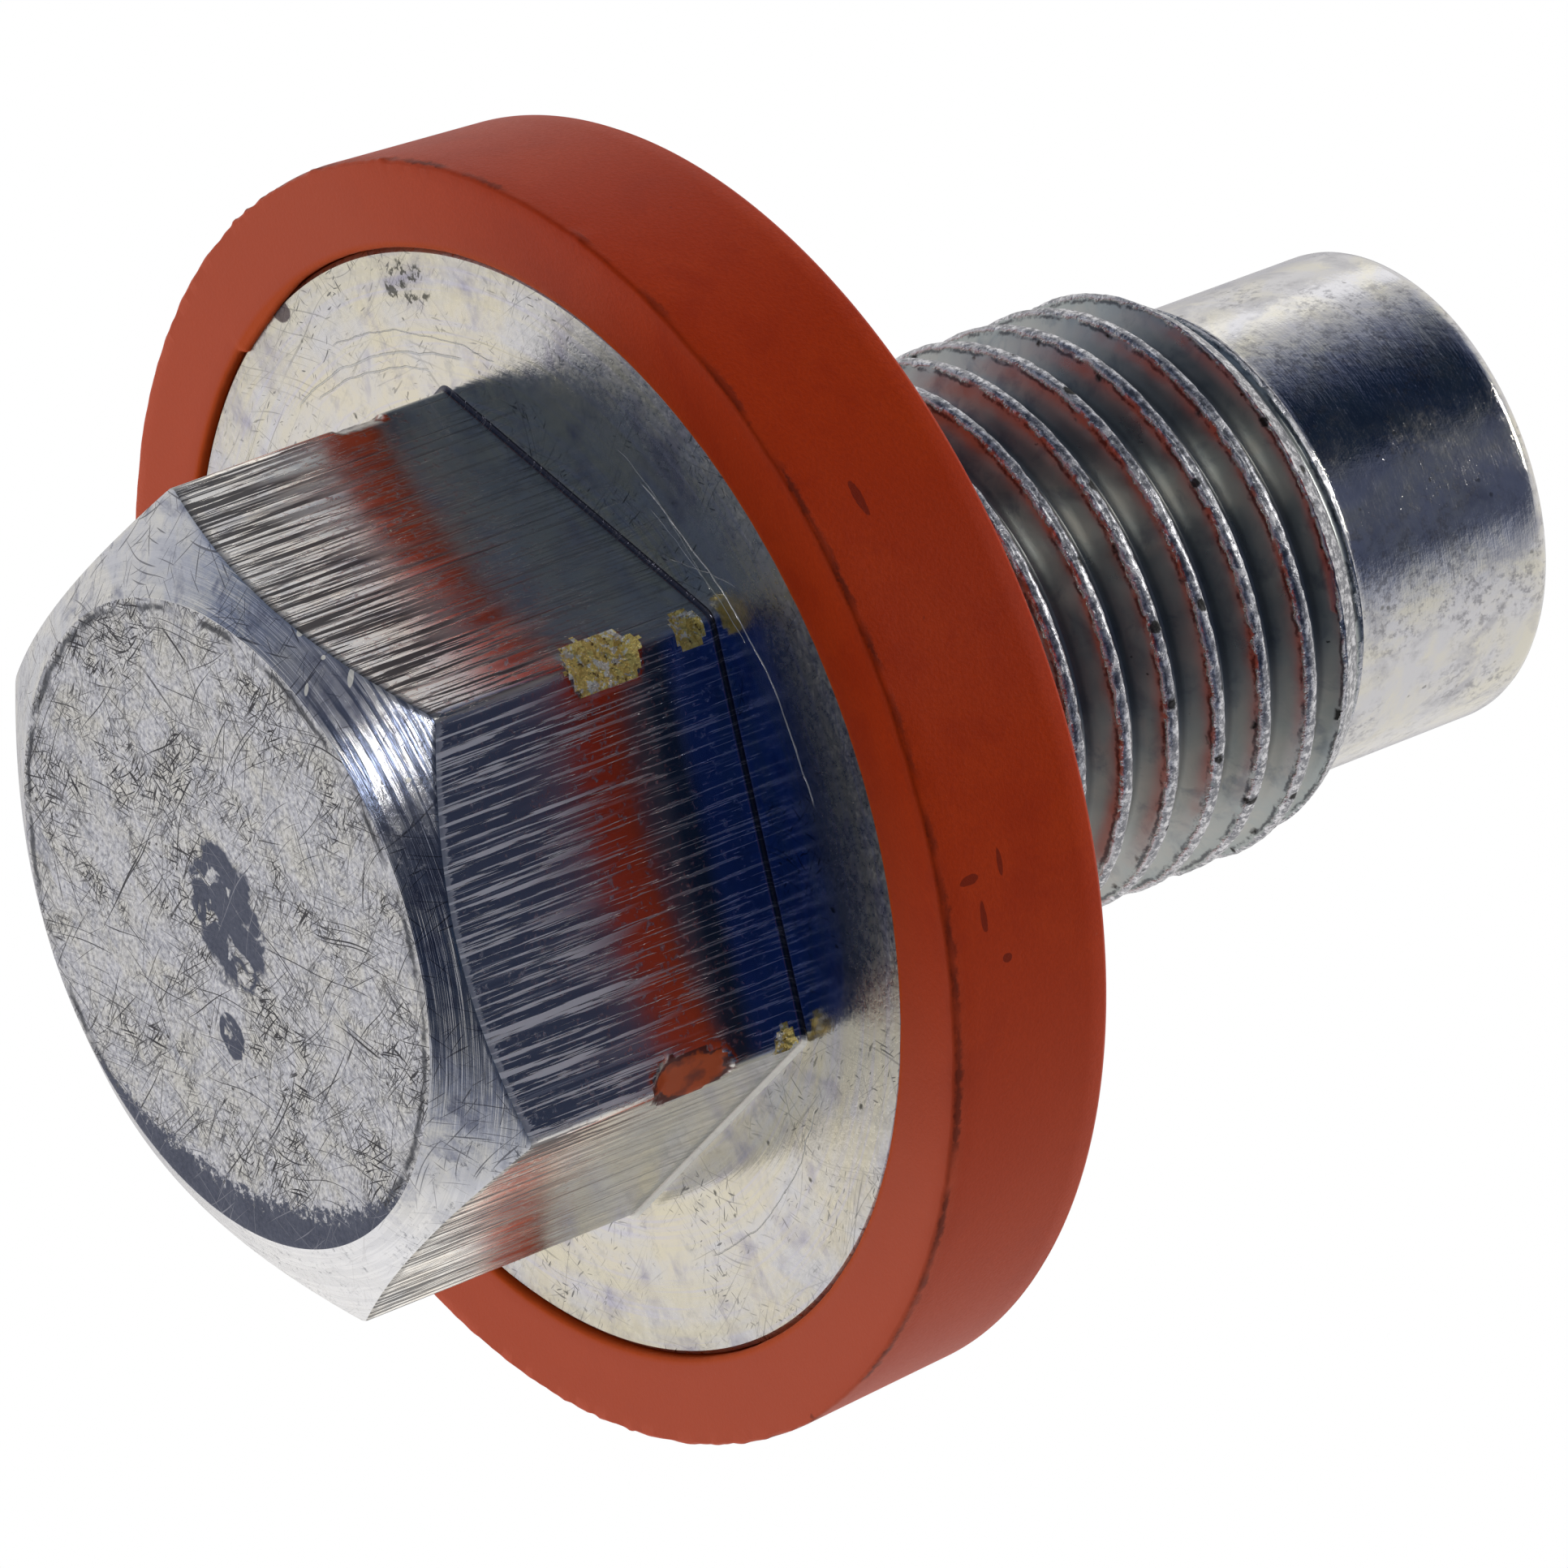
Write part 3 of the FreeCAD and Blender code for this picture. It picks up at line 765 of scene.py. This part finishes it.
roughness = calc("MULTIPLY_ADD", smear_and_ring_reflection, 0.25, roughness)
finish(shader, colour, roughness, fine_noise(mm, 2.5, 2.0), 0.006)
tree.links.new(ramp(smear_and_ring_reflection, 0, 1, 1.0, 0.0), shader.inputs["Metallic"])

for material in (hex_face, chamfer, flats, flange, pilot, thread, thread, pilot, pilot, crumpled, smoothed):
    plug.data.materials.append(material)
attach(plug, "root")
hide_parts("drain_plug")

# The rubber ring, its shape. One moulding of orange-red silicone, stretched over
# the rim of the flange, with a torn flash line at its front edge.
ring_low, ring_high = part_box("sealing_ring")
RING_REAR = ring_high.z / MM
RING_LIP = ring_low.z / MM
RING_FRONT_RADIUS = ring_high.x / MM
RING_REAR_RADIUS = RING_FRONT_RADIUS - 0.2
RING_SEAT = FLANGE_RADIUS + 0.04
RING_BORE = NECK_RADIUS + 0.08
SEAL_EDGE = THREAD_RADIUS + 0.2
RING_COLUMNS = 1080
FLASH = (               # torn bits at the front edge: degrees round the axis, reach either way, size
    (333.5, 0.6, 0.05), (336.0, 0.5, 0.03), (348.0, 0.8, 0.03), (359.3, 0.8, 0.06), (26.8, 1.4, 0.05),
    (196.0, 1.0, 0.04), (191.0, 0.8, 0.03), (186.5, 0.6, 0.04), (121.0, 0.8, 0.03), (262.0, 1.0, 0.04),
)
TORN_SIDES = ((190, 8), (338, 12))      # degrees round the axis, and how narrow
LIP_STEP = 0.16         # how far the lip creeps over the flange between two angles
STEP_START = 322.8
STEP_END = 340.0
ring_outline = [
    (RING_SEAT, FLANGE_FRONT + 0.6), (RING_SEAT, FLANGE_FRONT + 0.12),
    (RING_SEAT - 0.03, FLANGE_FRONT - 0.01), (RING_SEAT - 0.025, FLANGE_FRONT - 0.07),
    (RING_SEAT + 0.01, FLANGE_FRONT - 0.115), (RING_SEAT + 0.08, FLANGE_FRONT - 0.135),
    (RING_SEAT + 0.4, RING_LIP + 0.165), (RING_SEAT + 0.8, RING_LIP + 0.145),
    (RING_SEAT + 1.2, RING_LIP + 0.115), (RING_SEAT + 1.55, RING_LIP + 0.09),
    (RING_FRONT_RADIUS - 0.12, RING_LIP + 0.075), (RING_FRONT_RADIUS - 0.06, RING_LIP + 0.085),
    (RING_FRONT_RADIUS - 0.02, RING_LIP + 0.11), (RING_FRONT_RADIUS, RING_LIP + 0.16),
    (RING_FRONT_RADIUS - 0.02, RING_LIP + 0.24), (RING_FRONT_RADIUS - 0.03, RING_LIP + 0.34),
]
SIDE_START = RING_LIP + 0.3
for share in (0.12, 0.25, 0.4, 0.55, 0.7, 0.85, 0.96):
    radius = RING_FRONT_RADIUS + (RING_REAR_RADIUS - RING_FRONT_RADIUS) * share - 0.03
    ring_outline.append((radius, SIDE_START + (RING_REAR - SIDE_START) * share))
ring_outline += [
    (RING_REAR_RADIUS - 0.08, RING_REAR - 0.06), (RING_REAR_RADIUS - 0.2, RING_REAR),
    (12.6, RING_REAR), (11.2, RING_REAR), (9.6, RING_REAR), (8, RING_REAR), (SEAL_EDGE + 0.1, RING_REAR),
    (SEAL_EDGE, RING_REAR - 0.02), (RING_BORE, RING_REAR - (SEAL_EDGE - RING_BORE)),
    (RING_BORE, FLANGE_REAR + 0.4), (RING_BORE + 0.4, FLANGE_REAR), (9, FLANGE_REAR),
    (RING_SEAT, FLANGE_REAR),
]
OUTER_EDGE = range(11, 15)      # points of the outline at the torn front edge
EDGE_END = OUTER_EDGE[-1]
LIP_POINTS = range(2, 6)        # and those of the lip, which creeps over the flange
ring_points = np.zeros((len(ring_outline), RING_COLUMNS, 3))
for i in range(RING_COLUMNS):
    angle = 2 * math.pi * i / RING_COLUMNS
    degrees = math.degrees(angle)
    direction = (math.cos(angle), math.sin(angle))
    around = (direction[0] * 14, direction[1] * 14, 0)
    torn_side = 0
    for middle, sharpness in TORN_SIDES:
        torn_side += max(math.cos(angle - math.radians(middle)), 0) ** sharpness
    edge_in = 0.02 + 0.02 * wobble(around, 1.1, 35)
    edge_in += (0.012 + 0.03 * torn_side) * (1 + wobble(around, 0.33, 32))
    for middle, reach, size in FLASH:
        away = abs((degrees - middle + 180) % 360 - 180) / reach
        edge_in -= size * max(1 - away, 0)
    lip_in = LIP_STEP * min(max(degrees - STEP_START, 0) / 0.7, 1) * min(max(STEP_END - degrees, 0) / 10, 1)
    lip_in -= 0.025 * abs(wobble(around, 2.2, 33)) + 0.015 * abs(wobble(around, 0.5, 34))
    for k, (radius, height) in enumerate(ring_outline):
        if k in OUTER_EDGE:
            radius = min(radius - edge_in * (0.5 if k == EDGE_END else 1), RING_FRONT_RADIUS)
        if k in LIP_POINTS:
            radius -= lip_in
        ring_points[k, i] = (radius * direction[0], radius * direction[1], height)
ring_faces = []
for k in range(len(ring_outline)):
    below = (k + 1) % len(ring_outline)
    for i in range(RING_COLUMNS):
        after = (i + 1) % RING_COLUMNS
        ring_faces.append((k * RING_COLUMNS + i, k * RING_COLUMNS + after,
                           below * RING_COLUMNS + after, below * RING_COLUMNS + i))
ring_vertices = [tuple(point) for point in ring_points.reshape(-1, 3) * MM]
ring = mesh_piece("rubber_ring", ring_vertices, ring_faces, [0] * len(ring_faces), crease=40)

# Its rubber: matt, with fine grain, specks and a dark worn edge, and a pale painted sheen
# on the front that fades on the side facing the dark half of the room.
silicone, shader, mm = new_material("red_silicone", 0.0)
radius, x, y, z = polar(mm)
tones = effect(plating, mm, Scale=0.35, Main=(0.53, 0.038, 0.002),
               Second=(0.57, 0.046, 0.003), Third=(0.48, 0.032, 0.002))
grain = fine_noise(mm, 11.0, 4.0, 0.7)
light_specks = effect(pits, mm, Scale=1.3, Share=0.16, Size=0.075)[0]
moved = shifted(mm, (3.0, 8.0, 1.0))
dark_specks = effect(pits, moved, Scale=1.1, Share=0.2, Size=0.09)[0]
edge = calc("ADD", calc("ABSOLUTE", calc("SUBTRACT", radius, RING_FRONT_RADIUS - 0.03)),
            calc("ABSOLUTE", calc("SUBTRACT", z, RING_LIP + 0.2)))
edge = calc("MULTIPLY_ADD", fine_noise(mm, 3.2, 4.0, 0.7), 0.36, edge)
edge = times(ramp(edge, 0.30, 0.22), ramp(fine_noise(mm, 0.5, 2.0), 0.42, 0.56))
# Painted highlight: the lip's rounded inner edge, where light catches it, is painted a brighter orange.
painted_lip_highlight = times(ramp(radius, RING_SEAT + 0.16, RING_SEAT + 0.05), ramp(z, 8.8, 8.4))
SMUDGES = (             # middle, reach along x, y and z
    ((-1.75, 13.89, 9.01), (0.34, 1, 0.10)), ((-0.89, 13.97, 8.76), (0.12, 1, 0.26)),
    ((-2.78, 13.72, 9.5), (0.12, 1, 0.16)), ((-0.74, 13.98, 9.63), (0.30, 1, 0.07)),
    ((6.9, 12.2, 9.4), (0.35, 1, 0.12)),
)
smudges = largest([blot(mm, middle, reach, 4.0, 1.2) for middle, reach in SMUDGES])
colour = mix(ramp(grain, 0.35, 0.7, 0, 0.45), tones["Colour"], (0.36, 0.026, 0.004))
# Painted sheen: a paler cast, strongest on the front face, weak on the side towards the camera.
SHEEN_FADES_TOWARDS = math.radians(57)
towards_sheen_fade = calc("MULTIPLY_ADD", x, math.cos(SHEEN_FADES_TOWARDS), times(y, math.sin(SHEEN_FADES_TOWARDS)))
painted_sheen = times(ramp(z, RING_LIP + 0.5, RING_LIP + 0.2, 0.5, 0.85),
              ramp(towards_sheen_fade, 5.0, 12.5, 1.0, 0.1))
colour = mix(painted_sheen, colour, (0.59, 0.102, 0.045))
colour = mix(times(light_specks, 0.6), colour, (0.62, 0.30, 0.20))
colour = mix(times(dark_specks, 0.7), colour, (0.05, 0.01, 0.01))
colour = mix(times(smudges, 0.6), colour, (0.09, 0.008, 0.006))
colour = mix(times(edge, 0.7), colour, (0.10, 0.015, 0.008))
colour = mix(times(painted_lip_highlight, 0.8), colour, (0.60, 0.075, 0.003))
finish(shader, colour, ramp(grain, 0.2, 0.8, 0.36, 0.48), grain, 0.010)
shader.inputs["Specular IOR Level"].default_value = 0.05
ring.data.materials.append(silicone)
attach(ring, "root")
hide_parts("sealing_ring")

# The camera, at the photograph's view: below the plug, looking up at the hex face,
# with the axis lying across the picture.
PICTURE = 1932
FOCAL_PIXELS = 16431.5
TO_TARGET = Vector((-0.2208, -0.8099, 0.5434)).normalized()
PICTURE_UP = Vector((0.9522, -0.0585, 0.2998))
TARGET = Vector((-1.573, -0.404, 14.609)) * MM
DISTANCE = 283.25 * MM
camera_data = bpy.data.cameras.new("camera")
camera_data.sensor_width = 36
camera_data.lens = FOCAL_PIXELS / PICTURE * camera_data.sensor_width
camera_data.clip_start = 0.01
camera = bpy.data.objects.new("camera", camera_data)
bpy.context.scene.collection.objects.link(camera)
back = -TO_TARGET
right = PICTURE_UP.cross(back).normalized()
upright = back.cross(right)
turn = Matrix((right, upright, back)).transposed()
camera.matrix_world = Matrix.Translation(TARGET - TO_TARGET * DISTANCE) @ turn.to_4x4()
bpy.context.scene.camera = camera

# The floor, a pale sheet that the plug stands on. From below it is see-through.
FLOOR_HALF = 1.5        # metres
floor_corners = [(-FLOOR_HALF, -FLOOR_HALF, 0), (FLOOR_HALF, -FLOOR_HALF, 0),
                 (FLOOR_HALF, FLOOR_HALF, 0), (-FLOOR_HALF, FLOOR_HALF, 0)]
floor_mesh = bpy.data.meshes.new("floor")
floor_mesh.from_pydata(floor_corners, [], [(0, 1, 2, 3)])
floor = bpy.data.objects.new("floor", floor_mesh)
bpy.context.scene.collection.objects.link(floor)
floor.visible_shadow = False
floor.visible_diffuse = False
floor.visible_glossy = False
floor.visible_transmission = False
floor_material = bpy.data.materials.new("pale_floor")
floor_material.use_nodes = True
tree = floor_material.node_tree
tree.nodes.clear()
paint = put("BsdfDiffuse", {"Color": (0.8, 0.8, 0.8)}).outputs[0]
glow = put("Emission", {"Color": (1, 1, 1), "Strength": 0.4}).outputs[0]
pale = put("AddShader", {0: paint, 1: glow}).outputs[0]
clear = put("BsdfTransparent").outputs[0]
from_below = put("NewGeometry").outputs["Backfacing"]
sheet = put("MixShader", {0: from_below, 1: pale, 2: clear}).outputs[0]
put("OutputMaterial", {0: sheet})
floor.data.materials.append(floor_material)

# The light: a pale room behind the plug and a dark one behind the camera, as in a
# picture studio. Four soft lamps make glints in the metal, and two large ones, which
# the metal doesn't show, fill the ring's shade.
def on_compass(azimuth, elevation):
    """A direction by its angle round the axis from +X and its height, in degrees."""
    around = math.radians(azimuth)
    above = math.radians(elevation)
    return Vector((math.cos(above) * math.cos(around), math.cos(above) * math.sin(around), math.sin(above)))


world = bpy.data.worlds.new("studio")
world.use_nodes = True
bpy.context.scene.world = world
tree = world.node_tree
tree.nodes.clear()
ray = put("TexCoord").outputs["Generated"]


def towards_lobe(direction, outer, inner):
    """Share of a round part of the room: 1 within inner degrees of its middle, 0 past outer."""
    dot = put("VectorMath", {0: ray, 1: direction}, operation="DOT_PRODUCT").outputs["Value"]
    return ramp(dot, math.cos(math.radians(outer)), math.cos(math.radians(inner)))


def stepped(value, stops):
    """A colour that changes along value from 0 to 1."""
    node = put("ValToRGB", {"Fac": value})
    for position, colour in stops:
        node.color_ramp.elements.new(position).color = (*colour, 1)
    node.color_ramp.elements.remove(node.color_ramp.elements[0])
    node.color_ramp.elements.remove(node.color_ramp.elements[-1])
    return node.outputs["Color"]


behind_camera = put("VectorMath", {0: ray, 1: on_compass(57, -30)}, operation="DOT_PRODUCT").outputs["Value"]
daylight = stepped(ramp(behind_camera, -1, 1), (
    (0.30, (0.93, 0.91, 0.88)), (0.42, (0.80, 0.79, 0.78)), (0.456, (0.67, 0.67, 0.68)),
    (0.50, (0.49, 0.50, 0.54)), (0.535, (0.30, 0.315, 0.37)), (0.57, (0.17, 0.185, 0.25)),
    (0.60, (0.07, 0.08, 0.13)), (0.646, (0, 0, 0))))
height = put("SeparateXYZ", {0: ray}).outputs[2]
shadows = stepped(ramp(height, -1, 1), (
    (0.05, (0.22, 0.225, 0.26)), (0.23, (0.15, 0.19, 0.27)), (0.50, (0.03, 0.045, 0.08)),
    (0.75, (0.009, 0.018, 0.04))))
colour = mix(1.0, shadows, daylight, "SCREEN")
colour = mix(towards_lobe(on_compass(86, 36), 25, 15), colour, (0.09, 0.105, 0.16))
colour = mix(towards_lobe(on_compass(-98, 36), 26, 10), colour, (0.60, 0.59, 0.61))
colour = mix(towards_lobe(on_compass(105, -32), 38, 14), colour, (0.011, 0.030, 0.074))
colour = mix(towards_lobe(on_compass(150, -76), 36, 16), colour, (0.03, 0.04, 0.07))
room = put("Background", {"Color": colour})
white = put("Background", {"Color": (1, 1, 1)})
path = put("LightPath")
blend = put("MixShader", {0: path.outputs["Is Camera Ray"], 1: room.outputs[0], 2: white.outputs[0]})
put("OutputWorld", {"Surface": blend.outputs[0]})


def soft_lamp(name, direction, distance, width, height, power, colour, in_metal=True):
    """A soft lamp, level and facing the middle of the plug."""
    data = bpy.data.lights.new(name, "AREA")
    data.shape = "RECTANGLE"
    data.size = width
    data.size_y = height
    data.energy = power
    data.color = colour
    lamp = bpy.data.objects.new(name, data)
    bpy.context.scene.collection.objects.link(lamp)
    lamp.location = TARGET + direction * distance
    lamp.rotation_euler = direction.to_track_quat("Z", "Y").to_euler()
    lamp.visible_glossy = in_metal
    lamp.visible_camera = False


soft_lamp("lamp_below", on_compass(-20, -77), 0.5, 0.05, 0.05, 0.25, (1, 1, 1))
soft_lamp("lamp_above_camera", on_compass(70, 54), 0.5, 0.22, 0.016, 0.6, (1, 0.97, 0.90))
soft_lamp("lamp_at_corner", on_compass(47, 8), 0.5, 0.08, 0.08, 0.24, (1, 0.98, 0.92))
soft_lamp("lamp_beside_tip", on_compass(-34, 37), 0.5, 0.12, 0.12, 0.018, (1, 1, 1))
soft_lamp("fill_lamp", on_compass(250, -40), 0.6, 0.5, 0.5, 1.3, (1, 1, 1), in_metal=False)
soft_lamp("side_lamp", on_compass(-15, -5), 0.6, 0.5, 0.5, 0.28, (1, 1, 1), in_metal=False)

bpy.context.scene.view_settings.view_transform = "Standard"
